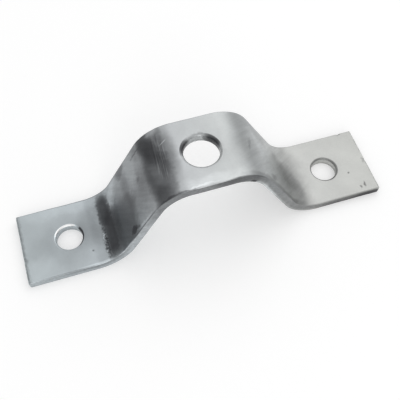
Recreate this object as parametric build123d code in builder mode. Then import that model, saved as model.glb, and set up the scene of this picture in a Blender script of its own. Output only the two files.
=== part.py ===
"""U-clip for a threaded rod: one flat steel strip, punched, then bent into a hat.

The two feet lie on the mounting face at z = 0 and the crown stands over it between two
sloping walls. X runs along the strip, Y across it and Z up, away from the mounting face.
The origin is midway between the feet, on the mounting face.
"""

import os
from math import radians, tan

from build123d import *

# The strip, in millimetres
strip_width = 25.0
strip_thickness = 3.0

# The hat's side view, in millimetres and degrees
overall_length = 120.0
clear_height = 30.0  # from the mounting face to the underside of the crown
crown_flat = 13.2  # level stretch of the crown, between its two bends
wall_angle = 61.0  # how steeply the walls climb
crown_bend_radius = 10.5  # inside of the bend, on the underside of the strip
foot_bend_radius = 11.5  # inside of the bend, on the top of the strip

# The punched holes
rod_hole_diameter = 11.0
rod_rim_rollover = 1.0  # rounding that the punch draws into the rim where it enters
foot_hole_diameter = 8.5
foot_rim_rollover = 0.65
foot_hole_to_end = 15.5
fracture_depth = 0.5  # where the slug broke away, under the smooth land
fracture_flare = 0.1  # how much wider the hole leaves the strip than its land

# The edges
end_rollover = 0.7  # rounding that the shear leaves on the top of each cut end
edge_round = 0.3  # rounding about the strip's long sides

# How far a punch reaches past each face of the strip
punch_overrun = 1.0


def punch(diameter: float, rim_rollover: float) -> Part:
    """What a punch takes out of a level strip that lies with its underside at z = 0.

    From the top down it has the rolled rim, the smooth land and the broken, flared exit.
    """
    land_radius = diameter / 2
    rim_radius = land_radius + rim_rollover
    exit_radius = land_radius + fracture_flare
    land_top = strip_thickness - rim_rollover
    above = strip_thickness + punch_overrun
    with BuildPart() as tool:
        with BuildSketch(Plane.XZ):
            with BuildLine():
                Polyline(
                    (land_radius, land_top),
                    (land_radius, fracture_depth),
                    (exit_radius, 0),
                    (exit_radius, -punch_overrun),
                    (0, -punch_overrun),
                    (0, above),
                    (rim_radius, above),
                    (rim_radius, strip_thickness),
                )
                RadiusArc((rim_radius, strip_thickness), (land_radius, land_top), rim_rollover)
            make_face()
        revolve(axis=Axis.Z)
    return tool.part


# A bend's tangent points lie this many bend radii from the corner that it rounds
corner_reach = tan(radians(wall_angle) / 2)

# Corners of the strip's underside, before bending rounds them off
end_x = overall_length / 2
crown_corner_x = crown_flat / 2 + crown_bend_radius * corner_reach
foot_corner_x = crown_corner_x + clear_height / tan(radians(wall_angle))
foot_hole_x = end_x - foot_hole_to_end

rod_punch = punch(rod_hole_diameter, rod_rim_rollover)
foot_punch = punch(foot_hole_diameter, foot_rim_rollover)

with BuildPart() as u_clip_strap:
    # The side view: the underside's bent line, thickened upwards and carried across the width
    with BuildSketch(Plane.XZ):
        with BuildLine():
            underside_foot_radius = foot_bend_radius + strip_thickness
            FilletPolyline(
                (-end_x, 0),
                (-foot_corner_x, 0),
                (-crown_corner_x, clear_height),
                (crown_corner_x, clear_height),
                (foot_corner_x, 0),
                (end_x, 0),
                radius=(
                    underside_foot_radius,
                    crown_bend_radius,
                    crown_bend_radius,
                    underside_foot_radius,
                ),
            )
            offset(amount=strip_thickness, side=Side.LEFT)
        make_face()
    extrude(amount=strip_width / 2, both=True)

    # The shear rolls over the top edge of both cut ends
    cross_edges = u_clip_strap.edges().filter_by(Axis.Y).group_by(Axis.X)
    fillet([cross_edges[0].sort_by(Axis.Z)[-1], cross_edges[-1].sort_by(Axis.Z)[-1]], end_rollover)

    # Both long sides are slightly round all the way about, corners included
    fillet(u_clip_strap.faces().filter_by(Axis.Y).edges(), edge_round)

    # One hole for the rod in the crown, and one for an anchor in each foot
    with Locations((0, 0, clear_height)):
        add(rod_punch, mode=Mode.SUBTRACT)
    with Locations((-foot_hole_x, 0, 0), (foot_hole_x, 0, 0)):
        add(foot_punch, mode=Mode.SUBTRACT)

u_clip_strap.part.label = "u_clip_strap"

os.makedirs("parts", exist_ok=True)
export_step(u_clip_strap.part, "parts/u_clip_strap.step")
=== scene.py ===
"""Looks of the u-clip for a threaded rod: a punched and bent strip of zinc-plated steel.

The strip is made the way the real one is. A flat blank is cut and punched, its marks are
pressed into it, and then it is bent along the clip's side view. Sizes are in millimetres and
degrees until the strip is bent, and in metres after that.
"""

import logging
import math
from collections.abc import Callable
from dataclasses import dataclass, field
from enum import Enum
from functools import partial

import bpy
import numpy as np
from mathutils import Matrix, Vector, noise


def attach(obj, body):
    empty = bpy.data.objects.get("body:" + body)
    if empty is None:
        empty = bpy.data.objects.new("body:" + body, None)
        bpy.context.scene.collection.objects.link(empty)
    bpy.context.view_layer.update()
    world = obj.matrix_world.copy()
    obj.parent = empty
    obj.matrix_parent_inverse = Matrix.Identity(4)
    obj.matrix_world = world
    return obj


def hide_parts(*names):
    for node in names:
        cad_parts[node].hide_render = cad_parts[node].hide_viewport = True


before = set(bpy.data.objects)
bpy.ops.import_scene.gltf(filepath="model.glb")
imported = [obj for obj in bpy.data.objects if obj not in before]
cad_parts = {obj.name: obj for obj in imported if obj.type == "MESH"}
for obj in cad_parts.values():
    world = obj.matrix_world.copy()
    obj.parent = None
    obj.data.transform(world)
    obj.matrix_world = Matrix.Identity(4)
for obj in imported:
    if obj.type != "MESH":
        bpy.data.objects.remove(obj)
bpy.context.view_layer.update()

log = logging.getLogger("u_clip")

MM = 0.001  # metres in a millimetre

# Attributes of the strap's mesh: where a point lay on the flat blank, in millimetres, and how
# far it lies on a slit side, on a sheared end and on the wall of a hole
PLACE = "blank_place"
CUT = "cut_surface"

# Kinds of node that many of the trees below use
MATH = "ShaderNodeMath"
VECTOR_MATH = "ShaderNodeVectorMath"
MAP_RANGE = "ShaderNodeMapRange"
MAPPING = "ShaderNodeMapping"
NOISE = "ShaderNodeTexNoise"

Pair = tuple[float, float]
Triple = tuple[float, float, float]
Lines = tuple[list[float], list[float]]
Socket = bpy.types.NodeSocket
AddNode = Callable[..., Socket]  # add_node with its tree filled in


def linear(hex_code: str) -> tuple[float, float, float, float]:
    """Turn an sRGB hex colour into the linear colour that a socket takes.

    Args:
        hex_code: Six hex digits after a hash, such as "#a3aab0".

    Returns:
        Linear red, green and blue, and an alpha of 1.
    """
    channels = [int(hex_code[i : i + 2], 16) / 255 for i in (1, 3, 5)]
    rgb = [c / 12.92 if c <= 0.04045 else ((c + 0.055) / 1.055) ** 2.4 for c in channels]
    return (rgb[0], rgb[1], rgb[2], 1.0)


def add_node(
    tree: bpy.types.NodeTree, kind: str, inputs: dict | tuple = (), **settings: object
) -> Socket | None:
    """Add a node, set its properties, and fill or link its inputs.

    Args:
        tree: The node tree that gets the node.
        kind: Blender's name for the kind of node.
        inputs: A value or an output socket for each input, by the input's identifier, or for
            the first inputs in their order.
        settings: Properties of the node.

    Returns:
        The node's first output that is in use, or None if it has no output.
    """
    node = tree.nodes.new(kind)
    for name, value in settings.items():
        setattr(node, name, value)
    named = {s.identifier: s for s in node.inputs}
    filled = inputs.items() if isinstance(inputs, dict) else enumerate(inputs)
    for name, value in filled:
        socket = named[name] if isinstance(name, str) else node.inputs[name]
        if isinstance(value, Socket):
            tree.links.new(value, socket)
        else:
            socket.default_value = value
    return next((s for s in node.outputs if s.enabled), None)


def cleared(owner: bpy.types.Material | bpy.types.World) -> AddNode:
    """Take away the nodes of a material or a world, and return what adds new ones."""
    owner.use_nodes = True
    owner.node_tree.nodes.clear()
    return partial(add_node, owner.node_tree)


def add_object(name: str, data: bpy.types.ID) -> bpy.types.Object:
    """Make an object and put it in the scene."""
    made = bpy.data.objects.new(name, data)
    bpy.context.scene.collection.objects.link(made)
    return made


def remap(source: Pair, target: Pair = (0.0, 1.0)) -> dict[str, float]:
    """Inputs that map one range of values onto another."""
    return dict(zip(("From Min", "From Max", "To Min", "To Max"), (*source, *target)))


def quarter(steps: int) -> list[float]:
    """Angles from 0 to a quarter turn, in radians."""
    return [math.pi / 2 * i / (steps - 1) for i in range(steps)]


def even(start: float, stop: float, step: float) -> list[float]:
    """Places that divide a stretch into even steps, none longer than the given one."""
    count = max(1, math.ceil((stop - start) / step - 1e-9))
    return [start + (stop - start) * i / count for i in range(count + 1)]


def mirrored(half: list[float]) -> list[float]:
    """A rising list that starts at zero, put on both sides of zero."""
    return [-v for v in half[:0:-1]] + half


def nearest(lines: list[float], value: float) -> int:
    """Number of the line that lies nearest to a place."""
    return min(range(len(lines)), key=lambda i: abs(lines[i] - value))


def around(i0: int, i1: int, j0: int, j1: int) -> list[tuple[int, int]]:
    """The crossings round a rectangle of lines, anticlockwise."""
    return (
        [(i, j0) for i in range(i0, i1)]
        + [(i1, j) for j in range(j0, j1)]
        + [(i, j1) for i in range(i1, i0, -1)]
        + [(i0, j) for j in range(j1, j0, -1)]
    )


@dataclass(frozen=True)
class Hole:
    """A punched round hole.

    Args:
        along: Where its middle lies along the blank.
        diameter: Diameter of its smooth land.
        rollover: How far the punch drew its rim down and out.
        lean: Direction in which the rim is drawn out most, in degrees from +X.
        notch: Direction of a notch in the rim, or None.
        leaning: How much further the rim is drawn out there, as a share of the rollover.
        stray: How far the rim wanders, as a worn punch leaves it.
        bumps: How close together its bumps are.
        notch_depth: How far the notch reaches out.
        notch_breadth: Half the notch's breadth, in radians.
    """

    along: float
    diameter: float
    rollover: float
    lean: float
    notch: float | None = None
    leaning: float = 0.15
    stray: float = 0.07
    bumps: float = 2.2
    notch_depth: float = 0.32
    notch_breadth: float = 0.13

    def drawn(self, angle: float) -> float:
        """How far the rim lies outside the land in one direction.

        Args:
            angle: The direction, in radians from +X.

        Returns:
            The distance.
        """
        side = self.leaning * math.cos(angle - math.radians(self.lean))
        spot = (math.cos(angle) * self.bumps, math.sin(angle) * self.bumps, self.along)
        reach = self.rollover * (1 + side) + self.stray * noise.noise(spot)
        if self.notch is not None:
            off = math.remainder(angle - math.radians(self.notch), math.tau)
            reach += self.notch_depth * math.exp(-((off / self.notch_breadth) ** 4))
        return reach


@dataclass(frozen=True)
class StrapSizes:
    """The strap's sizes, which are those of the solid that it stands for."""

    overall_length: float = 120.0
    strip_width: float = 25.0
    strip_thickness: float = 3.0
    clear_height: float = 30.0
    crown_flat: float = 13.2
    wall_angle: float = 61.0
    crown_bend_radius: float = 10.5
    foot_bend_radius: float = 11.5
    rod_hole_diameter: float = 11.0
    rod_rim_rollover: float = 1.0
    foot_hole_diameter: float = 8.5
    foot_rim_rollover: float = 0.65
    foot_hole_to_end: float = 15.5
    fracture_depth: float = 0.5
    fracture_flare: float = 0.1
    end_rollover: float = 0.7
    edge_round: float = 0.3

    @property
    def crown_line_radius(self) -> float:
        """Radius of the middle of the strip's thickness round a crown bend."""
        return self.crown_bend_radius + self.strip_thickness / 2

    @property
    def foot_line_radius(self) -> float:
        """Radius of the middle of the strip's thickness round a foot bend."""
        return self.foot_bend_radius + self.strip_thickness / 2

    @property
    def half_length(self) -> float:
        """Half the blank's length, along the middle of its thickness."""
        turn = math.radians(self.wall_angle)
        reach = math.tan(turn / 2)
        radii = self.crown_line_radius + self.foot_line_radius
        crown_corner = self.crown_flat / 2 + self.crown_line_radius * reach
        foot_corner = crown_corner + self.clear_height / math.tan(turn)
        wall = self.clear_height / math.sin(turn) - radii * reach
        foot = self.overall_length / 2 - foot_corner - self.foot_line_radius * reach
        return self.crown_flat / 2 + radii * turn + wall + foot

    def holes(self) -> tuple[Hole, Hole, Hole]:
        """The three punched holes, from -X to +X."""
        along = self.half_length - self.foot_hole_to_end
        foot = (self.foot_hole_diameter, self.foot_rim_rollover)
        rod = (self.rod_hole_diameter, self.rod_rim_rollover)
        return (
            Hole(-along, *foot, lean=120),
            Hole(0.0, *rod, lean=135, notch=78),
            Hole(along, *foot, lean=20),
        )


class MarkKind(Enum):
    """What left a mark in the strip's top."""

    PIT = "a small round hollow"
    DENT = "a shallow knock with soft edges"
    SCORE = "a scratch that cut the metal"
    NICK = "a piece out of an edge"


@dataclass(frozen=True)
class Mark:
    """One mark in the top of the blank.

    Args:
        kind: What the mark is.
        along: Where it lies along the blank.
        across: Where it lies across the blank.
        length: Its length.
        breadth: Its breadth.
        depth: How deep it goes.
        turn: How far its length is turned from the blank's own, in degrees.
    """

    kind: MarkKind
    along: float
    across: float
    length: float
    breadth: float
    depth: float
    turn: float = 0.0


PIT, DENT, SCORE, NICK = MarkKind

MARKS = (
    Mark(PIT, -53.0, -7.0, 0.7, 0.6, 0.16),
    Mark(PIT, 66.9, -4.0, 0.8, 0.6, 0.16, 40),
    Mark(PIT, 70.3, -9.5, 1.7, 0.5, 0.12, 75),
    Mark(PIT, 68.8, -10.4, 0.6, 0.9, 0.12, 20),
    Mark(PIT, 62.9, -4.4, 0.5, 0.4, 0.10),
    Mark(DENT, -21.9, 1.7, 1.8, 1.4, 0.10),
    Mark(DENT, -31.5, -10.2, 3.2, 2.0, 0.15, 10),
    Mark(SCORE, -19.7, 9.7, 3.6, 0.5, 0.08, -3),
    Mark(SCORE, -9.9, 6.4, 1.9, 0.4, 0.08, 32),
    Mark(SCORE, 15.0, 0.2, 4.5, 0.7, 0.04, 62),
    Mark(SCORE, 67.5, 0.5, 3.4, 0.35, 0.03, 72),
    Mark(NICK, -74.6, -4.2, 1.4, 1.0, 0.34),
    Mark(NICK, 69.9, 12.4, 1.2, 0.8, 0.30),
    Mark(NICK, 74.6, -0.6, 0.8, 0.9, 0.26),
    Mark(NICK, -5.3, -12.4, 1.6, 0.5, 0.22),
    Mark(NICK, 7.9, -12.4, 1.3, 0.5, 0.24),
)


@dataclass
class FlatBlank:
    """The strip before it is bent: a flat plate with three punched holes.

    Args:
        sizes: The strap's sizes.
        grid: Distance between the points on its faces.
        patch: Half the side of the square of rings about each hole.
        ring_count: How many rings turn that square into the hole's circle.
        ring_crowding: How much closer together those rings lie near the hole.
        corner_radius: Rounding of the plate's corners, seen from above.
        edge_lines: Distances of the faces' last lines of points from the edges.
        edge_pull: How far in from an edge its stray still moves the points of a face.
        stray: How far in from its straight line a cut edge lies, and wanders.
        stray_lengths: Over what distances it wanders broadly and finely.
        tear: How far the line along which a hole's wall broke wanders up and down.
        tear_height: How far from that line the wall still follows it.
        tear_bumps: How close together the bumps of that line are.
        brightening: Heights between which a slit side's rounding turns as bright as the top.
        points: Its points, as places along, across and over the middle of the thickness.
        cuts: For each point, how far it lies on a slit side, a sheared end or a hole's wall.
        faces: Its faces, as numbers of points.
    """

    sizes: StrapSizes
    grid: float = 0.36
    patch: float = 8.4
    ring_count: int = 13
    ring_crowding: float = 1.6
    corner_radius: float = 0.4
    edge_lines: tuple[float, ...] = (1.05, 0.75, 0.5, 0.32, 0.2, 0.1, 0.0)
    edge_pull: float = 1.3
    stray: float = 0.05
    stray_lengths: Pair = (6.0, 1.3)
    tear: float = 0.22
    tear_height: float = 0.25
    tear_bumps: float = 4.0
    brightening: Pair = (1.26, 1.38)
    points: list = field(default_factory=list)
    cuts: list = field(default_factory=list)
    faces: list = field(default_factory=list)

    # A profile runs across the strip's edge, from the top round to the underside. Each step
    # gives how far in from the outline it is, and how high over the middle of the thickness.

    def side_profile(self) -> list[Pair]:
        """The long sides, which were slit and are slightly round at the top and underside."""
        half, round_over = self.sizes.strip_thickness / 2, self.sizes.edge_round
        top = [
            (round_over * (1 - math.sin(a)), half - round_over * (1 - math.cos(a)))
            for a in quarter(6)
        ]
        middle = [(0.0, height) for height in (0.75, 0.3, -0.2, -0.7)]
        return top + middle + [(inset, -height) for inset, height in top[::-1]]

    def end_profile(self) -> list[Pair]:
        """The ends, which the shear rolled over, then cut smooth, then broke away."""
        half, roll = self.sizes.strip_thickness / 2, self.sizes.end_rollover
        top = [(roll * (1 - math.sin(a)), half - roll * (1 - math.cos(a))) for a in quarter(6)]
        broken = [(0.0, 0.5), (0.0, 0.1), (0.06, -0.3), (0.13, -0.8), (0.16, -1.2)]
        burr = [(0.17, -1.3), (0.18, -1.4), (0.21, -1.46), (0.26, -1.49), (0.34, -half)]
        return top + broken + burr

    def wall_profile(self, hole: Hole) -> list[Triple]:
        """A hole's wall: the rolled rim, the smooth land and the broken exit.

        Args:
            hole: The hole.

        Returns:
            For each step, the share of the rim's rollover, the distance outside the land and
            the height.
        """
        half, drop = self.sizes.strip_thickness / 2, hole.rollover
        rim = [(1 - math.sin(a), 0.0, half - drop * (1 - math.cos(a))) for a in quarter(8)]
        land_end = -half + self.sizes.fracture_depth
        land = [(0.0, 0.0, z) for z in even(rim[-1][2], land_end, 0.4)[1:]]
        flare = self.sizes.fracture_flare
        broken = [
            (0.0, flare * 0.5, land_end - 0.06),
            (0.0, flare * 0.8, land_end - 0.24),
            (0.0, flare, -half + 0.05),
            (0.0, flare + 0.05, -half),
        ]
        return rim + land + broken

    def wander(self, place: float, seed: float) -> float:
        """How far an edge that was cut by machine still strays inwards at one place."""
        broad = noise.noise((place / self.stray_lengths[0], seed, 0.5))
        fine = noise.noise((place / self.stray_lengths[1], seed, 9.5))
        return self.stray + self.stray * broad + self.stray / 2 * fine

    def settle(self, along: float, across: float, inset_end: float, inset_side: float) -> Pair:
        """Move a point of the outline rectangle to where a smaller, rounded outline has it.

        Args:
            along: Place along the blank, out to half its length.
            across: Place across the blank, out to half its width.
            inset_end: How far in the ends are here.
            inset_side: How far in the long sides are here.

        Returns:
            The place along and across that the point ends up at.
        """
        limits = (self.sizes.half_length, self.sizes.strip_width / 2)
        # Each of the four edges wanders in its own way
        strays = (
            self.wander(across, math.copysign(3.0, along)),
            self.wander(along, math.copysign(5.0, across)),
        )
        insets = [inset + stray for inset, stray in zip((inset_end, inset_side), strays)]
        moved, over = [], []
        for value, limit, inset in zip((along, across), limits, insets):
            shift = inset * math.exp((abs(value) - limit) / self.edge_pull)
            moved.append(math.copysign(abs(value) - shift, value))
            over.append(max(abs(moved[-1]) - (limit - inset - self.corner_radius), 0.0))
        if min(over) > 0:
            for i in (0, 1):
                inner = abs(moved[i]) - over[i]
                rounded = over[i] / math.hypot(*over) * max(over)
                moved[i] = math.copysign(inner + rounded, moved[i])
        return moved[0], moved[1]

    def lines(self) -> Lines:
        """Place the grid's lines, closer together near the blank's edges.

        Returns:
            The places of the lines along the blank, and of those across it.
        """
        near, foot = self.edge_lines, self.sizes.holes()[2].along
        end, side = self.sizes.half_length, self.sizes.strip_width / 2
        stops = (self.patch, foot - self.patch, foot + self.patch, end - near[0])
        along = even(0.0, stops[0], self.grid)
        for start, stop in zip(stops, stops[1:]):
            along += even(start, stop, self.grid)[1:]
        across = even(0.0, self.patch, self.grid)
        across += even(self.patch, side - near[0], self.grid)[1:]
        return (
            mirrored(along + [end - d for d in near[1:]]),
            mirrored(across + [side - d for d in near[1:]]),
        )

    def add_point(self, place: Pair, height: float, cut: Triple = (0.0, 0.0, 0.0)) -> int:
        """Add a point and return its number."""
        self.points.append((*place, height))
        self.cuts.append(cut)
        return len(self.points) - 1

    def add_band(self, first: list[int], second: list[int]) -> None:
        """Join two rings of points, of equal count, with a band of faces."""
        for i, point in enumerate(first):
            j = (i + 1) % len(first)
            self.faces.append((point, first[j], second[j], second[i]))

    def build(self) -> None:
        """Make the top, the underside, the outer edge and the walls of the holes."""
        lines = self.lines()
        border = around(0, len(lines[0]) - 1, 0, len(lines[1]) - 1)
        rims, borders = [], []
        for up in (True, False):
            numbers = self.add_face(lines, up)
            borders.append([numbers[crossing] for crossing in border])
            for hole in self.sizes.holes():
                ends = [nearest(lines[0], hole.along + d) for d in (-self.patch, self.patch)]
                sides = [nearest(lines[1], d) for d in (-self.patch, self.patch)]
                square = [numbers[crossing] for crossing in around(*ends, *sides)]
                rims.append(self.add_rings(hole, square, up))
        self.add_edge(borders, [(lines[0][i], lines[1][j]) for i, j in border])
        for k, hole in enumerate(self.sizes.holes()):
            self.add_wall(hole, rims[k], rims[k + 3])

    def add_face(self, lines: Lines, up: bool) -> dict:
        """Lay the grid of one face, without the squares about the holes.

        Args:
            lines: The grid's lines along and across the blank.
            up: Whether this is the top.

        Returns:
            The number of the point at each crossing of lines.
        """
        step = 0 if up else -1
        inset_side, inset_end = self.side_profile()[step][0], self.end_profile()[step][0]
        height = self.sizes.strip_thickness / (2 if up else -2)
        numbers = {}
        for i in range(len(lines[0]) - 1):
            middle = (lines[0][i] + lines[0][i + 1]) / 2
            beside = any(abs(middle - h.along) < self.patch for h in self.sizes.holes())
            for j in range(len(lines[1]) - 1):
                if beside and abs(lines[1][j] + lines[1][j + 1]) / 2 < self.patch:
                    continue
                crossings = ((i, j), (i + 1, j), (i + 1, j + 1), (i, j + 1))
                for crossing in crossings:
                    if crossing not in numbers:
                        along, across = lines[0][crossing[0]], lines[1][crossing[1]]
                        place = self.settle(along, across, inset_end, inset_side)
                        numbers[crossing] = self.add_point(place, height)
                corners = tuple(numbers[crossing] for crossing in crossings)
                self.faces.append(corners if up else corners[::-1])
        return numbers

    def add_rings(self, hole: Hole, square: list[int], up: bool) -> list[int]:
        """Fill a hole's square with rings that turn its sides into the rim's circle.

        Args:
            hole: The hole.
            square: Numbers of the points round the square.
            up: Whether this is the top.

        Returns:
            Numbers of the points round the rim.
        """
        share, flare, height = self.wall_profile(hole)[0 if up else -1]
        outer = square
        for k in range(1, self.ring_count + 1):
            blend = (1 - k / self.ring_count) ** self.ring_crowding
            ring = []
            for number in square:
                along, across = self.points[number][0] - hole.along, self.points[number][1]
                angle = math.atan2(across, along)
                rim = hole.diameter / 2 + flare + share * hole.drawn(angle)
                keep = blend + (1 - blend) * rim / math.hypot(along, across)
                ring.append(self.add_point((hole.along + along * keep, across * keep), height))
            self.add_band(*((outer, ring) if up else (ring, outer)))
            outer = ring
        return outer

    def add_edge(self, borders: list[list[int]], outline: list[Pair]) -> None:
        """Wrap the outer edge from the top's border down to the underside's.

        Args:
            borders: Numbers of the points round the top and round the underside.
            outline: The same points' places on the outline rectangle.
        """
        end = self.sizes.half_length - self.corner_radius
        side = self.sizes.strip_width / 2 - self.corner_radius
        low, high = self.brightening
        previous = borders[0]
        steps = list(zip(self.side_profile(), self.end_profile()))
        for (inset_side, z_side), (inset_end, z_end) in steps[1:-1]:
            slit = min(max((high - z_side) / (high - low), 0.0), 1.0)
            ring = []
            for along, across in outline:
                over_end = max(abs(along) - end, 0.0) ** 2
                over_side = max(abs(across) - side, 0.0) ** 2
                share = over_end / (over_end + over_side)
                place = self.settle(along, across, inset_end, inset_side)
                height = z_side + (z_end - z_side) * share
                ring.append(self.add_point(place, height, ((1 - share) * slit, share, 0.0)))
            self.add_band(ring, previous)
            previous = ring
        self.add_band(borders[1], previous)

    def add_wall(self, hole: Hole, rim: list[int], exit_rim: list[int]) -> None:
        """Line a hole with its wall.

        Args:
            hole: The hole.
            rim: Numbers of the points round its rim in the top.
            exit_rim: Numbers of the points round its rim in the underside.
        """
        previous = rim
        land_end = self.sizes.fracture_depth - self.sizes.strip_thickness / 2
        for share, flare, height in self.wall_profile(hole)[1:-1]:
            ring = []
            for number in rim:
                along, across, _ = self.points[number]
                angle = math.atan2(across, along - hole.along)
                reach = hole.diameter / 2 + flare + share * hole.drawn(angle)
                cos, sin = math.cos(angle), math.sin(angle)
                ragged = noise.noise((cos * self.tear_bumps, sin * self.tear_bumps, hole.along))
                broken = math.exp(-(((height - land_end) / self.tear_height) ** 2))
                place = (hole.along + reach * cos, reach * sin)
                lift = self.tear * ragged * broken
                ring.append(self.add_point(place, height + lift, (0.0, 0.0, 1.0)))
            self.add_band(previous, ring)
            previous = ring
        self.add_band(previous, exit_rim)


@dataclass
class Strap:
    """The whole clip: cut, punched, marked, bent and plated.

    Args:
        sizes: Its sizes.
        marks: The marks in its top.
        unevenness: How deep the faces sink where rolling and plating left them uneven.
        uneven_stretch: Distance from one such hollow to the next.
        drawn_in: How far the top draws down about each hole.
        drawn_reach: How far past the rim it still does.
        mark_floor: Height over the middle of the thickness down to which marks reach.
        steepness: How steep the sides of marks are.
        dent_steepness: The same for dents, which are soft.
        nick_push: How far a nick goes inwards, as a share of its depth.
        bend_steps: How many straight steps make up each bend.
    """

    sizes: StrapSizes = field(default_factory=StrapSizes)
    marks: tuple[Mark, ...] = MARKS
    unevenness: float = 0.06
    uneven_stretch: float = 9.0
    drawn_in: float = 0.07
    drawn_reach: float = 0.9
    mark_floor: float = 0.7
    steepness: float = 1.3
    dent_steepness: float = 0.8
    nick_push: float = 0.8
    bend_steps: int = 64

    def worn(self, points: np.ndarray) -> np.ndarray:
        """Press the punch's pull and the marks into the flat blank.

        Args:
            points: The blank's points, as rows of along, across and height.

        Returns:
            The moved points. None of them leaves the blank's own outline.
        """
        moved = points.copy()
        room = self.sizes.strip_thickness / 2 - self.mark_floor
        upper = np.clip((points[:, 2] - self.mark_floor) / room, 0, 1)
        for hole in self.sizes.holes():
            radius = np.hypot(points[:, 0] - hole.along, points[:, 1])
            past_rim = np.clip(radius - hole.diameter / 2 - hole.rollover, 0, None)
            moved[:, 2] -= self.drawn_in * np.exp(-past_rim / self.drawn_reach) * upper
        for mark in self.marks:
            moved -= self.pressed(points, mark) * upper[:, None]
        return moved

    def pressed(self, points: np.ndarray, mark: Mark) -> np.ndarray:
        """How far one mark pushes each point down, and at an edge inwards as well.

        Args:
            points: The blank's points, as rows of along, across and height.
            mark: The mark.

        Returns:
            The distances to take off, in rows as the points have them.
        """
        turn = math.radians(mark.turn)
        along, across = points[:, 0] - mark.along, points[:, 1] - mark.across
        u = (along * math.cos(turn) + across * math.sin(turn)) / (mark.length / 2)
        v = (across * math.cos(turn) - along * math.sin(turn)) / (mark.breadth / 2)
        steepness = self.dent_steepness if mark.kind is DENT else self.steepness
        bowl = mark.depth * np.exp(-((u**2 + v**2) ** steepness))
        push = np.zeros_like(points)
        push[:, 2] = bowl
        if mark.kind is NICK:
            edges = (self.sizes.half_length, self.sizes.strip_width / 2)
            for axis, (place, edge) in enumerate(zip((mark.along, mark.across), edges)):
                if abs(place) > edge - 1:
                    push[:, axis] = math.copysign(self.nick_push, place) * bowl
        return push

    def blank_object(self) -> bpy.types.Object:
        """Build the flat, marked blank.

        Returns:
            The blank as an object, in millimetres, with its two attributes.
        """
        blank = FlatBlank(self.sizes)
        blank.build()
        points = np.array(blank.points)
        mesh = bpy.data.meshes.new("flat_blank")
        mesh.from_pydata(self.worn(points).tolist(), [], blank.faces)
        for name, values in ((PLACE, points), (CUT, np.array(blank.cuts))):
            attribute = mesh.attributes.new(name, "FLOAT_VECTOR", "POINT")
            attribute.data.foreach_set("vector", values.ravel())
        return add_object("flat_blank", mesh)

    def bend_tree(self) -> bpy.types.NodeTree:
        """Build the nodes that bend a flat blank along the clip's side view.

        Returns:
            The tree, whose inputs are the side view's sizes and the finish.
        """
        tree = bpy.data.node_groups.new("bend_into_hat", "GeometryNodeTree")
        numbers = dict.fromkeys(self.tree_values(), "Float")
        for name, kind in {"Blank": "Geometry", **numbers, "Finish": "Material"}.items():
            tree.interface.new_socket(name, in_out="INPUT", socket_type=f"NodeSocket{kind}")
        tree.interface.new_socket("Strap", in_out="OUTPUT", socket_type="NodeSocketGeometry")
        add = partial(add_node, tree)
        given = add("NodeGroupInput").node.outputs
        middle = self.middle_line(add, given)
        place = add("GeometryNodeInputPosition")
        part = add("ShaderNodeSeparateXYZ", (place,)).node.outputs

        # Rolled and plated metal is never quite flat, so both faces sink a little here and there
        scale = add(MATH, (1.0, given["Uneven Stretch"]), operation="DIVIDE")
        waves = add(
            NOISE,
            {"Vector": place, "W": given["Seed"], "Scale": scale, "Detail": 1.5},
            noise_dimensions="4D",
        )
        sink = add(MATH, (waves, given["Unevenness"]), operation="MULTIPLY")
        share = add(MATH, (part["Z"], given["Strip Thickness"]), operation="DIVIDE")
        lowered = add(MATH, (sink, share), operation="MULTIPLY")
        height = add(MATH, (part["Z"], lowered), operation="SUBTRACT")

        # The blank's middle goes to the curve's middle, and its height along the curve's side
        length = add("GeometryNodeCurveLength", (middle,))
        reach = add(MATH, (length, 0.5, part["X"]), operation="MULTIPLY_ADD")
        on_curve = {"Curves": middle, "Length": reach}
        sample = add("GeometryNodeSampleCurve", on_curve, mode="LENGTH")
        tangent = sample.node.outputs["Tangent"]
        outward = add(VECTOR_MATH, (tangent, (0, 1, 0)), operation="CROSS_PRODUCT")
        lift = add(VECTOR_MATH, {"Vector": outward, "Scale": height}, operation="SCALE")
        across = add("ShaderNodeCombineXYZ", {"Y": part["Y"]})
        bent = sample.node.outputs["Position"]
        for shift in (lift, across):
            bent = add(VECTOR_MATH, (bent, shift), operation="ADD")
        strap = add("GeometryNodeSetPosition", {"Geometry": given["Blank"], "Position": bent})
        strap = add("GeometryNodeSetShadeSmooth", (strap,))
        strap = add("GeometryNodeTransform", {"Geometry": strap, "Scale": (MM, MM, MM)})
        strap = add("GeometryNodeRealizeInstances", (strap,))
        plated = {"Geometry": strap, "Material": given["Finish"]}
        add("NodeGroupOutput", (add("GeometryNodeSetMaterial", plated),))
        return tree

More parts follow.
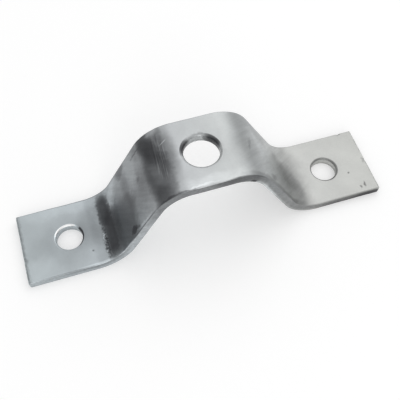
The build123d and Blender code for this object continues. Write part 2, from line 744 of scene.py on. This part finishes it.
    def middle_line(self, add: AddNode, given: bpy.types.bpy_prop_collection) -> Socket:
        """Draw the side view's middle line: six corners, the inner four of them rounded.

        Args:
            add: Adds a node to the tree.
            given: The tree's inputs.

        Returns:
            The curve.
        """
        turn = add(MATH, (given["Wall Angle"],), operation="RADIANS")
        half_turn = add(MATH, (turn, 0.5), operation="MULTIPLY")
        reach = add(MATH, (half_turn,), operation="TANGENT")
        flat = add(MATH, (given["Crown Flat"], 0.5), operation="MULTIPLY")
        to_crown = (given["Crown Line Radius"], reach, flat)
        crown = add(MATH, to_crown, operation="MULTIPLY_ADD")
        steepness = add(MATH, (turn,), operation="TANGENT")
        run = add(MATH, (given["Clear Height"], steepness), operation="DIVIDE")
        foot = add(MATH, (crown, run), operation="ADD")
        end = add(MATH, (given["Overall Length"], 0.5), operation="MULTIPLY")
        low = add(MATH, (given["Strip Thickness"], 0.5), operation="MULTIPLY")
        high = add(MATH, (given["Clear Height"], low), operation="ADD")
        route = ((end, low), (foot, low), (crown, high))
        corners, radii = [], []
        for i in range(6):
            x, z = route[i] if i < 3 else route[5 - i]
            sided = add(MATH, (x, -1.0 if i < 3 else 1.0), operation="MULTIPLY")
            corners.append(add("ShaderNodeCombineXYZ", {"X": sided, "Z": z}))
            radii.append(given["Crown Line Radius" if i in (2, 3) else "Foot Line Radius"])
        by_number = []
        for kind, values in (("VECTOR", corners), ("FLOAT", radii)):
            number = {"Index": add("GeometryNodeInputIndex")}
            switch = add("GeometryNodeIndexSwitch", number, data_type=kind).node
            for _ in values[2:]:
                switch.index_switch_items.new()
            for socket, value in zip(switch.inputs[1:], values):
                switch.id_data.links.new(value, socket)
            by_number.append(switch.outputs[0])
        edges = add("GeometryNodeMeshToCurve", (add("GeometryNodeMeshLine", {"Count": 6}),))
        sharp = add("GeometryNodeSetPosition", {"Geometry": edges, "Position": by_number[0]})
        rounding = {"Curve": sharp, "Count": self.bend_steps, "Radius": by_number[1]}
        rounding["Limit Radius"] = False
        return add("GeometryNodeFilletCurve", rounding, mode="POLY")

    def tree_values(self) -> dict[str, float]:
        """The bending tree's inputs that are numbers, by name."""
        return {
            "Overall Length": self.sizes.overall_length,
            "Clear Height": self.sizes.clear_height,
            "Crown Flat": self.sizes.crown_flat,
            "Wall Angle": self.sizes.wall_angle,
            "Crown Line Radius": self.sizes.crown_line_radius,
            "Foot Line Radius": self.sizes.foot_line_radius,
            "Strip Thickness": self.sizes.strip_thickness,
            "Unevenness": self.unevenness,
            "Uneven Stretch": self.uneven_stretch,
            "Seed": 4.0,
        }

    def make(self, finish: bpy.types.Material) -> bpy.types.Object:
        """Bend the blank, plate it and put it in the solid's place.

        Args:
            finish: The material of its whole surface.

        Returns:
            The strap, as one plain mesh in metres.
        """
        flat = self.blank_object()
        tree = self.bend_tree()
        bend = flat.modifiers.new("bend", "NODES")
        bend.node_group = tree
        values = {**self.tree_values(), "Finish": finish}
        for item in tree.interface.items_tree:
            if item.in_out == "INPUT" and item.name in values:
                bend[item.identifier] = values[item.name]
        bent = flat.evaluated_get(bpy.context.evaluated_depsgraph_get())
        strap = add_object("strap", bpy.data.meshes.new_from_object(bent))
        flat.modifiers.remove(bend)
        bpy.data.objects.remove(flat)
        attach(strap, "root")
        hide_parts("u_clip_strap")
        return strap


class Outline(Enum):
    """How far the outline of a film or of a patch of painted light or shade wanders, over a broad
    and over a fine distance.
    """

    SMOOTH = (0.0, 0.0)
    CRISP = (0.0, 1.6)
    RAGGED = (1.5, 2.6)
    STEADY = (2.5, 1.2)
    DRIFTING = (6.0, 2.0)


SMOOTH, CRISP, RAGGED, STEADY, DRIFTING = Outline


@dataclass(frozen=True)
class FilmAndLightPatch:
    """A patch of film or of painted light or shade on the plating, as a rounded block of space
    laid on the flat blank.

    Args:
        along: Where its middle lies along the blank.
        across: Where its middle lies across the blank.
        length: Half its length.
        breadth: Half its breadth.
        density: How dark it is. Below zero it is a brighter place: a wiped spot or a painted
            highlight.
        softness: How gently it fades, as a share of its size.
        turn: How far it is turned from the blank's own direction, in degrees.
        height: Its middle's height over the middle of the thickness.
        depth: Half its reach in height.
        boxy: Whether its outline is a rounded box and not an ellipse.
        outline: How its outline wanders.
    """

    along: float
    across: float
    length: float
    breadth: float
    density: float
    softness: float = 0.3
    turn: float = 0.0
    height: float = 1.5
    depth: float = 1.3
    boxy: bool = False
    outline: Outline = DRIFTING


# The films on the top and the underside, and the painted shade, reflection and highlights there
FACE_FILMS_AND_PAINTED_LIGHT = (
    # The foot at -X: a faint cloud about the hole, painted highlights along its edges, and
    # painted shade on the end's rollover
    FilmAndLightPatch(-59.5, -0.8, 10.0, 7.0, 0.24, 0.9),
    FilmAndLightPatch(-52.6, 1.8, 3.8, 7.0, 0.27, 0.8),
    FilmAndLightPatch(-61.0, 12.0, 17.0, 3.0, -0.12, 0.6),
    FilmAndLightPatch(-71.0, -9.5, 6.0, 5.5, -0.14, 0.8),
    FilmAndLightPatch(-49.8, -12.0, 3.0, 1.2, -0.15, 0.6),
    FilmAndLightPatch(-74.8, 0.0, 0.9, 13.0, 0.30, 0.6, boxy=True, outline=CRISP),
    FilmAndLightPatch(-53.0, -7.0, 0.34, 0.28, 0.90, 0.6, outline=SMOOTH),
    # The foot bend at -X, where the press rubbed the plating
    FilmAndLightPatch(-45.2, 0.1, 2.9, 11.4, 0.68, 0.2, boxy=True, outline=RAGGED),
    FilmAndLightPatch(-45.4, 5.6, 2.6, 5.0, 1.35, 0.5, outline=STEADY),
    FilmAndLightPatch(-46.3, -5.0, 1.6, 5.4, 0.62, 0.7, outline=RAGGED),
    # The wall at -X: partly a duller film, partly painted shade and painted dark reflection, all
    # over and darkest low down beside the foot bend, with a painted highlight along its front
    # edge
    FilmAndLightPatch(-29.5, 0.5, 13.8, 15.0, 0.50, 0.25, boxy=True),
    FilmAndLightPatch(-36.8, -4.9, 8.6, 8.0, 1.00, 0.3, -14, boxy=True),
    FilmAndLightPatch(-43.6, -3.2, 4.4, 7.6, 0.78, 0.45, outline=STEADY),
    FilmAndLightPatch(-30.0, 3.8, 2.4, 5.0, 0.55, 0.8, 4),
    FilmAndLightPatch(-31.0, 11.6, 2.5, 1.7, 0.80, 0.8),
    FilmAndLightPatch(-34.0, 6.4, 4.0, 3.2, 0.34, 0.8),
    FilmAndLightPatch(-38.6, 8.8, 4.6, 1.8, -0.30, 0.8, 57),
    FilmAndLightPatch(-25.0, -2.6, 4.0, 5.0, 0.45, 0.8, -25),
    FilmAndLightPatch(-18.8, -0.6, 3.2, 7.6, 0.62, 0.9),
    FilmAndLightPatch(-18.8, 10.8, 3.0, 2.4, 0.35, 0.8),
    FilmAndLightPatch(-31.9, -10.2, 1.9, 1.05, 1.50, 0.35, outline=CRISP),
    FilmAndLightPatch(-29.7, -10.8, 1.6, 0.35, 0.60, 0.5, -8, outline=CRISP),
    FilmAndLightPatch(-22.0, 1.5, 1.0, 0.75, 0.45, 0.6, outline=CRISP),
    FilmAndLightPatch(-19.9, 9.6, 2.4, 0.35, 0.85, 0.6, 3, outline=CRISP),
    FilmAndLightPatch(-26.0, -11.6, 5.5, 0.5, -0.45, 0.6, outline=RAGGED),
    # The crown bend at -X, with painted shade along its front edge and a painted highlight on its
    # back edge
    FilmAndLightPatch(-13.8, 0.0, 3.3, 14.0, 1.15, 0.5, boxy=True, outline=STEADY),
    FilmAndLightPatch(-14.4, 6.6, 6.4, 2.3, 1.10, 0.5, 107, outline=STEADY),
    FilmAndLightPatch(-14.3, -10.0, 2.2, 3.2, 0.70, 0.6, outline=STEADY),
    FilmAndLightPatch(-10.0, 2.4, 2.5, 6.4, 0.62, 0.7, outline=STEADY),
    FilmAndLightPatch(-12.0, 12.6, 1.4, 2.4, -0.80, 0.6, outline=STEADY),
    FilmAndLightPatch(-10.6, -12.3, 5.0, 0.6, 0.85, 0.5, outline=CRISP),
    # The crown, with painted highlights along its front edge
    FilmAndLightPatch(-2.0, -11.0, 9.5, 2.0, -0.18, 0.6),
    FilmAndLightPatch(-4.5, -11.7, 5.5, 0.35, -0.20, 0.5, 2, outline=CRISP),
    FilmAndLightPatch(-9.9, 6.4, 1.1, 0.16, -0.80, 0.6, 32, outline=SMOOTH),
    # The crown bend at +X
    FilmAndLightPatch(25.0, 0.0, 15.5, 14.0, 0.18, 0.3, boxy=True),
    FilmAndLightPatch(15.0, -0.6, 4.6, 11.0, 0.18, 0.6, outline=STEADY),
    FilmAndLightPatch(22.5, 10.4, 7.5, 3.4, 0.26, 0.8, -12),
    FilmAndLightPatch(15.0, 0.2, 2.3, 0.35, 0.28, 0.7, 66, outline=CRISP),
    # The wall at +X, with painted shade along its front edge
    FilmAndLightPatch(28.5, -12.5, 16.0, 1.9, 0.60, 0.4, boxy=True, outline=STEADY),
    FilmAndLightPatch(24.6, -8.7, 3.2, 1.0, 0.62, 0.6, 28, outline=CRISP),
    FilmAndLightPatch(37.0, -4.0, 11.0, 6.0, 0.12, 0.7, 16),
    FilmAndLightPatch(43.2, -0.6, 3.0, 4.6, 0.48, 0.7),
    FilmAndLightPatch(45.4, -7.4, 2.9, 4.4, 0.42, 0.7),
    FilmAndLightPatch(49.0, -1.5, 3.0, 11.5, 0.22, 0.8),
    # The foot at +X, darker in and about its pits and its nick
    FilmAndLightPatch(66.9, -3.9, 0.34, 0.28, 0.90, 0.6, 40, outline=SMOOTH),
    FilmAndLightPatch(74.2, -0.4, 0.7, 1.0, 0.40, 0.7, outline=CRISP),
    FilmAndLightPatch(70.3, -9.6, 1.0, 0.24, 0.95, 0.6, 84, outline=CRISP),
    FilmAndLightPatch(68.9, -10.3, 0.25, 0.5, 0.80, 0.6, 15, outline=CRISP),
    # Lines along the edges and by a burr: painted shade and painted highlights that stand for the
    # light on their rounding, and darker in a nick in the back edge at +X
    FilmAndLightPatch(10.4, -12.5, 5.5, 0.45, 0.95, 0.5, outline=SMOOTH),
    FilmAndLightPatch(-38.5, -12.6, 6.0, 0.45, -0.90, 0.5, outline=SMOOTH),
    FilmAndLightPatch(-25.5, -12.5, 8.0, 0.35, 0.95, 0.5, outline=SMOOTH),
    FilmAndLightPatch(-51.5, -12.0, 6.0, 0.4, -0.28, 0.5, outline=SMOOTH),
    FilmAndLightPatch(-62.5, -12.5, 10.0, 0.35, 0.45, 0.6, outline=SMOOTH),
    FilmAndLightPatch(-40.0, 12.5, 33.0, 0.4, 0.80, 0.5, outline=SMOOTH),
    FilmAndLightPatch(69.9, 12.4, 0.7, 0.45, 1.40, 0.5, outline=SMOOTH),
    # The underside, hazed inside the bends
    FilmAndLightPatch(-13.5, 0.0, 4.0, 14.0, 0.55, 0.4, height=-1.5, boxy=True),
    FilmAndLightPatch(-44.5, 1.0, 4.0, 12.0, 0.40, 0.4, height=-1.5, boxy=True),
    FilmAndLightPatch(14.5, 0.0, 4.5, 14.0, 0.35, 0.5, height=-1.5, boxy=True),
    FilmAndLightPatch(45.5, -1.0, 3.8, 11.0, 0.45, 0.5, height=-1.5, boxy=True),
)

# Those on the slit sides, the sheared ends and the walls of the holes, painted light and shade
# among them
CUT_FILMS_AND_PAINTED_LIGHT = (
    # The front slit side, which is dark from the crown on to +X and lighter along its foot, with
    # painted shade where it nears the floor at the foot at +X and a lighter lower rim under the
    # crown bend at +X
    FilmAndLightPatch(-52.0, -12.5, 12.0, 4.0, 0.50, 0.6, height=1.2, depth=1.1),
    FilmAndLightPatch(-6.5, -12.5, 16.5, 4.0, 0.70, 0.4, height=0.0, depth=3.2),
    FilmAndLightPatch(9.5, -12.5, 7.0, 4.0, 1.00, 0.6, height=0.6, depth=2.2),
    FilmAndLightPatch(34.0, -12.5, 22.0, 4.0, 0.54, 0.3, height=0.8, depth=1.7),
    FilmAndLightPatch(20.0, -12.5, 10.0, 4.0, -0.40, 0.6, height=-1.3, depth=0.7),
    FilmAndLightPatch(65.5, -12.5, 13.0, 4.0, 1.00, 0.4, height=-0.5, depth=1.6),
    FilmAndLightPatch(71.8, -12.5, 5.5, 4.0, 1.65, 0.5, height=-1.0, depth=1.7),
    FilmAndLightPatch(64.5, -12.5, 10.5, 4.0, 0.60, 0.3, height=-1.5, depth=0.8),
    # A burr under the crown bend at +X, and a painted highlight on the rounding of the end at +X
    FilmAndLightPatch(12.9, -12.5, 1.0, 4.0, 4.00, 0.6, height=-1.5, depth=0.9),
    FilmAndLightPatch(74.8, 0.0, 1.2, 12.0, -0.50, 0.3, height=1.3, depth=1.0, boxy=True),
    # The rod hole, with painted shade and painted dark reflection on its wall at the left and at
    # the right
    FilmAndLightPatch(-5.3, 2.6, 2.4, 2.0, 2.30, 0.8, 64, height=0.4, depth=1.8, outline=STEADY),
    FilmAndLightPatch(4.8, 2.7, 3.0, 1.9, 2.60, 0.5, -60, height=-0.1, depth=1.8, outline=STEADY),
    # The hole in the foot at -X: a painted highlight on its rim behind, and painted shade on its
    # rim towards the wall
    FilmAndLightPatch(-60.7, 3.5, 5.0, 2.4, -1.25, 0.4, 26, height=1.35, depth=0.32),
    FilmAndLightPatch(-54.7, -0.8, 1.5, 3.7, 2.60, 0.35, -12, height=1.1, depth=1.5),
    # The hole in the foot at +X: painted shade round its rim, about a wall painted lighter
    FilmAndLightPatch(59.3, 0.0, 5.8, 5.8, 0.50, 0.15, height=1.4, depth=0.5),
    FilmAndLightPatch(58.8, -4.7, 4.6, 1.6, 0.60, 0.4, height=1.3, depth=0.8),
    FilmAndLightPatch(60.8, 2.8, 3.6, 2.8, -0.30, 0.5, height=-0.2, depth=1.0),
)


@dataclass(frozen=True)
class Pattern:
    """An unevenness of the plating, or painted light and shade, from a noise that changes from
    place to place.

    Args:
        size: About how far apart its patches lie, along, across and through the strip.
        levels: The noise's levels between which it goes from its first amount to its second.
        amounts: Those two amounts.
        turn: How far it is turned from the blank's own direction, in degrees.
        detail: How many finer layers it has.
        roughness: How strong they are.
        eased: Whether it eases into its two amounts.
        middle: Middle of the stretch of strip that has it.
        reach: Half that stretch's size, or None where the whole strip has it.
        fade: Shares of that reach from which and up to which it fades in.
    """

    size: Triple
    levels: Pair
    amounts: Pair
    turn: float = 0.0
    detail: float = 3.0
    roughness: float = 0.5
    eased: bool = False
    middle: Triple = (0.0, 0.0, 0.0)
    reach: Triple | None = None
    fade: Pair = (1.0, 0.4)

    def lay(self, add: AddNode, place: Socket) -> Socket:
        """Lay the pattern on the plating.

        Args:
            add: Adds a node to the material's tree.
            place: The place on the blank.

        Returns:
            The pattern's amount.
        """
        turn = (0.0, 0.0, math.radians(self.turn))
        pattern = {"Vector": place, "Rotation": turn, "Scale": self.size}
        turned = add(MAPPING, pattern, vector_type="TEXTURE")
        level = add(
            NOISE,
            {"Vector": turned, "Scale": 1.0, "Detail": self.detail, "Roughness": self.roughness},
        )
        amount = add(
            MAP_RANGE,
            {"Value": level, **remap(self.levels, self.amounts)},
            interpolation_type="SMOOTHSTEP" if self.eased else "LINEAR",
        )
        if self.reach is None:
            return amount
        stretch = {"Vector": place, "Location": self.middle, "Scale": self.reach}
        offset = add(MAPPING, stretch, vector_type="TEXTURE")
        away = {"Value": add(VECTOR_MATH, (offset,), operation="LENGTH")}
        share = add(MAP_RANGE, {**away, **remap(self.fade)}, interpolation_type="SMOOTHSTEP")
        return add(MATH, (amount, share), operation="MULTIPLY")


@dataclass(frozen=True)
class ZincPlate:
    """Bright zinc plating on rolled steel strip, hazed and rubbed where the press bent it.

    A few hundredths of a millimetre of zinc over drawn steel gives a cool, satin grey that
    mirrors only broad shapes. The film on it gives the dark bands over the bends. Other patches
    are painted light and shade: painted dark reflection and shade on the wall at -X, and painted
    shade and highlights along the edges and in the holes.

    Args:
        tones: Colour of the clean plating at places along the blank.
        dark_film_and_shade: Colour where the film, and the painted shade and reflection, are
            thick.
        face_films_and_painted_light: The patches of film, painted shade and painted highlight on
            the top and the underside.
        cut_films_and_painted_light: Those on the slit sides, the sheared ends and the walls of
            the holes.
        strays: Over what distances the films' outlines wander broadly and finely.
        clouds: Faint clouds all over.
        crease_highlights_and_shade: Bright and dark lines across the strip where the crown bend
            at -X is tightest, painted highlights and painted shade of crease lines that the mesh
            does not have.
        specks: Specks that the press rubbed bright and dark along the foot bend at -X.
        streaks: Streaks on both walls that slope away from the crown.
        streak_ends: Distances from the blank's middle at which they fade in, on both sides.
        cut_dullness_and_shade: How dark a slit side, a sheared end and the wall of a hole are:
            the duller cut steel, with painted shade on these steep faces and inside the holes.
        cut_roughness: How uneven that darkening is.
        grain: Size of the plating's crystals, drawn coarser than they are, to show.
        grain_levels: Noise levels of the smoothest and the roughest crystals.
        roughness: Roughness of those crystals.
        grain_strength: Share of the grain's height that the light shows.
        grain_height: Height of the grain, in metres.
    """

    tones: tuple[tuple[float, str], ...] = (
        (-75.0, "#bfc7ca"),
        (-50.0, "#bfc6ca"),
        (-8.0, "#bcbfc1"),
        (8.0, "#c3c6c6"),
        (22.0, "#bcc0c1"),
        (50.0, "#bbbcba"),
        (75.0, "#b8b9b6"),
    )
    dark_film_and_shade: str = "#343437"
    face_films_and_painted_light: tuple[FilmAndLightPatch, ...] = FACE_FILMS_AND_PAINTED_LIGHT
    cut_films_and_painted_light: tuple[FilmAndLightPatch, ...] = CUT_FILMS_AND_PAINTED_LIGHT
    strays: Pair = (6.0, 1.3)
    clouds: Pattern = Pattern((7.0, 7.0, 7.0), (0.25, 0.75), (-0.06, 0.06))
    crease_highlights_and_shade: Pattern = Pattern(
        (0.34, 7.0, 4.0),
        (0.4, 0.62),
        (0.25, -0.65),
        turn=-4,
        detail=1.5,
        eased=True,
        middle=(-11.9, 2.2, 1.5),
        reach=(2.6, 10.0, 4.0),
    )
    specks: Pattern = Pattern(
        (0.6, 0.6, 0.6),
        (0.36, 0.64),
        (0.7, -0.8),
        detail=1.0,
        eased=True,
        middle=(-47.4, -6.0, 1.5),
        reach=(1.4, 8.0, 4.0),
    )
    streaks: Pattern = Pattern(
        (15.0, 1.5, 4.0), (0.25, 0.75), (-0.17, 0.17), turn=32, roughness=0.66
    )
    streak_ends: tuple[Pair, Pair] = ((54.0, 44.0), (8.0, 16.0))
    cut_dullness_and_shade: Triple = (0.22, 0.45, 0.14)
    cut_roughness: Pattern = Pattern((0.9, 0.9, 0.9), (0.3, 0.7), (0.35, 1.65))
    grain: float = 0.5
    grain_levels: Pair = (0.3, 0.7)
    roughness: Pair = (0.36, 0.48)
    grain_strength: float = 0.25
    grain_height: float = 0.00002

    def material(self) -> bpy.types.Material:
        """Build the plating's material.

        Returns:
            The material, which reads the strap's own attributes.
        """
        material = bpy.data.materials.new("zinc_plated_steel")
        add = cleared(material)
        place = add("ShaderNodeAttribute", attribute_name=PLACE).node.outputs["Vector"]
        cut = add("ShaderNodeAttribute", attribute_name=CUT).node.outputs["Vector"]
        part = add("ShaderNodeSeparateXYZ", (place,)).node.outputs
        density = self.add_films_and_painted_light(add, place, cut)
        # The crease lines are painted highlights and painted shade
        for pattern in (self.clouds, self.crease_highlights_and_shade, self.specks):
            density = add(MATH, (density, pattern.lay(add, place)), operation="ADD")
        density = add(MATH, (density, self.add_streaks(add, part)), operation="ADD")
        # Cut faces darken: duller cut steel, and painted shade on the steep faces and in the
        # holes
        cut_dull_and_shade = add(VECTOR_MATH, (cut, self.cut_dullness_and_shade), operation="DOT_PRODUCT")
        rough = self.cut_roughness.lay(add, place)
        density = add(MATH, (rough, cut_dull_and_shade, density), operation="MULTIPLY_ADD")
        clear = add(MATH, (density, -1.0), operation="MULTIPLY")
        clear = add(MATH, (clear,), operation="EXPONENT")
        clean = self.add_tones(add, part["X"])
        # The dark colour stands for thick film and for painted shade and reflection alike
        colour = add(
            "ShaderNodeMix",
            {"Factor_Float": clear, "A_Color": linear(self.dark_film_and_shade), "B_Color": clean},
            data_type="RGBA",
            clamp_factor=False,
        )
        grain = add(NOISE, {"Vector": place, "Scale": 1 / self.grain, "Detail": 3.0})
        shine = {"Value": grain, **remap(self.grain_levels, self.roughness)}
        relief = {"Strength": self.grain_strength, "Distance": self.grain_height, "Height": grain}
        surface = {
            "Base Color": colour,
            "Metallic": 1.0,
            "Roughness": add(MAP_RANGE, shine),
            "Normal": add("ShaderNodeBump", relief),
        }
        add("ShaderNodeOutputMaterial", (add("ShaderNodeBsdfPrincipled", surface),))
        return material

    def add_tones(self, add: AddNode, along: Socket) -> Socket:
        """Colour the clean plating along the blank, cooler at -X and warmer at +X.

        Args:
            add: Adds a node to the material's tree.
            along: The place along the blank.

        Returns:
            The colour.
        """
        start, stop = self.tones[0][0], self.tones[-1][0]
        share = add(MAP_RANGE, {"Value": along, **remap((start, stop))})
        colour = add("ShaderNodeValToRGB", (share,))
        elements = colour.node.color_ramp.elements
        for i, (where, code) in enumerate(self.tones):
            element = elements.new((where - start) / (stop - start)) if i > 1 else elements[i]
            element.position, element.color = (where - start) / (stop - start), linear(code)
        return colour

    def add_films_and_painted_light(self, add: AddNode, place: Socket, cut: Socket) -> Socket:
        """Add up the films and the patches of painted light and shade over the strap.

        Args:
            add: Adds a node to the material's tree.
            place: The place on the blank.
            cut: How far it lies on each kind of cut surface.

        Returns:
            Their density.
        """
        shifts = []
        for stray in self.strays:
            cloud = add(NOISE, {"Vector": place, "Scale": 1 / stray, "Detail": 2.0})
            grey = (cloud.node.outputs["Color"], (0.5, 0.5, 0.5))
            shifts.append(add(VECTOR_MATH, grey, operation="SUBTRACT"))
        strayed = {}
        for outline in Outline:
            strayed[outline] = place
            for shift, reach in zip(shifts, outline.value):
                if reach:
                    move = (shift, (reach, reach, 0.0), strayed[outline])
                    strayed[outline] = add(VECTOR_MATH, move, operation="MULTIPLY_ADD")
        on_cut = add(VECTOR_MATH, (cut, (1.0, 1.0, 1.0)), operation="DOT_PRODUCT")
        on_face = add(MATH, (1.0, on_cut), operation="SUBTRACT")
        density = 0.0
        for films, share in ((self.face_films_and_painted_light, on_face), (self.cut_films_and_painted_light, on_cut)):
            total = 0.0
            for film in films:
                layer = self.add_film_and_light_patch(add, strayed[film.outline], film)
                total = add(MATH, (layer, total), operation="ADD")
            density = add(MATH, (total, share, density), operation="MULTIPLY_ADD")
        return density

    def add_film_and_light_patch(self, add: AddNode, place: Socket, film: FilmAndLightPatch) -> Socket:
        """Add one patch of film or of painted light or shade.

        Args:
            add: Adds a node to the material's tree.
            place: The place on the blank, as far as the patch's outline strays from it.
            film: The patch of film or of painted light or shade.

        Returns:
            Its density.
        """
        block = {
            "Vector": place,
            "Location": (film.along, film.across, film.height),
            "Rotation": (0.0, 0.0, math.radians(film.turn)),
            "Scale": (film.length, film.breadth, film.depth),
        }
        offset = add(MAPPING, block, vector_type="TEXTURE")
        power = 2 if film.boxy else 1
        if film.boxy:
            offset = add(VECTOR_MATH, (offset, offset), operation="MULTIPLY")
        away = add(VECTOR_MATH, (offset,), operation="LENGTH")
        fade = ((1 + film.softness) ** power, (1 - film.softness) ** power)
        layer = {"Value": away, **remap(fade, (0.0, film.density))}
        return add(MAP_RANGE, layer, interpolation_type="SMOOTHSTEP")

    def add_streaks(self, add: AddNode, part: bpy.types.bpy_prop_collection) -> Socket:
        """Streak both walls with bands that slope away from the crown.

        Args:
            add: Adds a node to the material's tree.
            part: The parts of the place on the blank.

        Returns:
            How much darker or lighter the walls get for them.
        """
        distance = add(MATH, (part["X"],), operation="ABSOLUTE")
        folded = add("ShaderNodeCombineXYZ", (distance, part["Y"], part["Z"]))
        streaks = self.streaks.lay(add, folded)
        for ends in self.streak_ends:
            inputs = {"Value": distance, **remap(ends)}
            share = add(MAP_RANGE, inputs, interpolation_type="SMOOTHSTEP")
            streaks = add(MATH, (streaks, share), operation="MULTIPLY")
        return streaks


@dataclass(frozen=True)
class Softbox:
    """A square softbox that faces the clip.

    Args:
        name: Its name.
        place: Where it stands, in metres.
        side: Its side, in metres.
        watts: Its power.
    """

    name: str
    place: Triple
    side: float
    watts: float

    def build(self) -> None:
        """Make the lamp."""
        light = bpy.data.lights.new(self.name, "AREA")
        light.size = self.side
        light.energy = self.watts
        lamp = add_object(self.name, light)
        lamp.location = self.place
        lamp.rotation_euler = Vector(self.place).to_track_quat("Z", "Y").to_euler()


@dataclass(frozen=True)
class Studio:
    """A white paper floor, two soft lamps and a pale room.

    Args:
        paper_colour: The floor's colour.
        paper_roughness: The floor's roughness.
        floor_radius: The floor's radius, in metres.
        floor_corners: How many corners its round outline has.
        lift: How much whiter the paper looks to the eye than the lamps alone leave it.
        softboxes: One behind and to the right, and one in front.
        room_colour: The room's colour.
        room_strength: How strongly the room lights the clip.
    """

    paper_colour: str = "#dcdcdc"
    paper_roughness: float = 0.9
    floor_radius: float = 3.0
    floor_corners: int = 64
    lift: float = 0.365
    softboxes: tuple[Softbox, ...] = (
        Softbox("key_softbox", (0.5, 0.4, 0.8), 1.0, 2.3),
        Softbox("front_softbox", (-0.1, -0.8, 0.55), 0.6, 1.5),
    )
    room_colour: str = "#ffffff"
    room_strength: float = 0.68

    def build(self) -> None:
        """Make the floor, the lamps and the room."""
        self.build_floor()
        for softbox in self.softboxes:
            softbox.build()
        world = bpy.data.worlds.new("pale_room")
        add = cleared(world)
        room = (linear(self.room_colour), self.room_strength)
        add("ShaderNodeOutputWorld", (add("ShaderNodeBackground", room),))
        bpy.context.scene.world = world

    def build_floor(self) -> None:
        """Lay the floor, of matt paper that looks white to the eye and in the metal."""
        paper = bpy.data.materials.new("matt_white_paper")
        add = cleared(paper)
        ray = add("ShaderNodeLightPath").node.outputs
        seen = ray["Is Camera Ray"]
        for kind in ("Is Glossy Ray", "Is Transmission Ray"):
            seen = add(MATH, (seen, ray[kind]), operation="MAXIMUM")
        sheet = {
            "Base Color": linear(self.paper_colour),
            "Roughness": self.paper_roughness,
            "Specular IOR Level": 0.0,
            "Emission Strength": add(MATH, (seen, self.lift), operation="MULTIPLY"),
        }
        add("ShaderNodeOutputMaterial", (add("ShaderNodeBsdfPrincipled", sheet),))
        count, radius = self.floor_corners, self.floor_radius
        turns = [math.tau * i / count for i in range(count)]
        ring = [(math.cos(a) * radius, math.sin(a) * radius, 0) for a in turns]
        mesh = bpy.data.meshes.new("floor")
        mesh.from_pydata(ring, [], [tuple(range(count))])
        mesh.materials.append(paper)
        add_object("floor", mesh)


@dataclass(frozen=True)
class PhotoCamera:
    """The camera that took the photograph, from a fit to the clip's outline and holes.

    Args:
        eye: Where it stands, in millimetres.
        turn: How it is turned about X, Y and Z, in degrees.
        lens: Focal length on a sensor 36 mm wide, in millimetres.
    """

    eye: Triple = (-34.98, -105.23, 190.40)
    turn: Triple = (30.78, -0.44, -17.53)
    lens: float = 58.68

    def build(self) -> None:
        """Make the camera and look through it."""
        data = bpy.data.cameras.new("photo_camera")
        data.lens = self.lens
        data.sensor_width = 36.0
        data.clip_start, data.clip_end = 0.01, 20.0
        camera = add_object("photo_camera", data)
        camera.location = Vector(self.eye) * MM
        camera.rotation_euler = [math.radians(a) for a in self.turn]
        bpy.context.scene.camera = camera


def main() -> None:
    """Build the camera, the studio and the strap."""
    logging.basicConfig(level=logging.INFO, format="%(name)s: %(message)s")
    bpy.context.scene.view_settings.view_transform = "Standard"
    PhotoCamera().build()
    Studio().build()
    strap = Strap().make(ZincPlate().material())
    log.info("%s: %d faces", strap.name, len(strap.data.polygons))


if __name__ == "__main__":
    main()
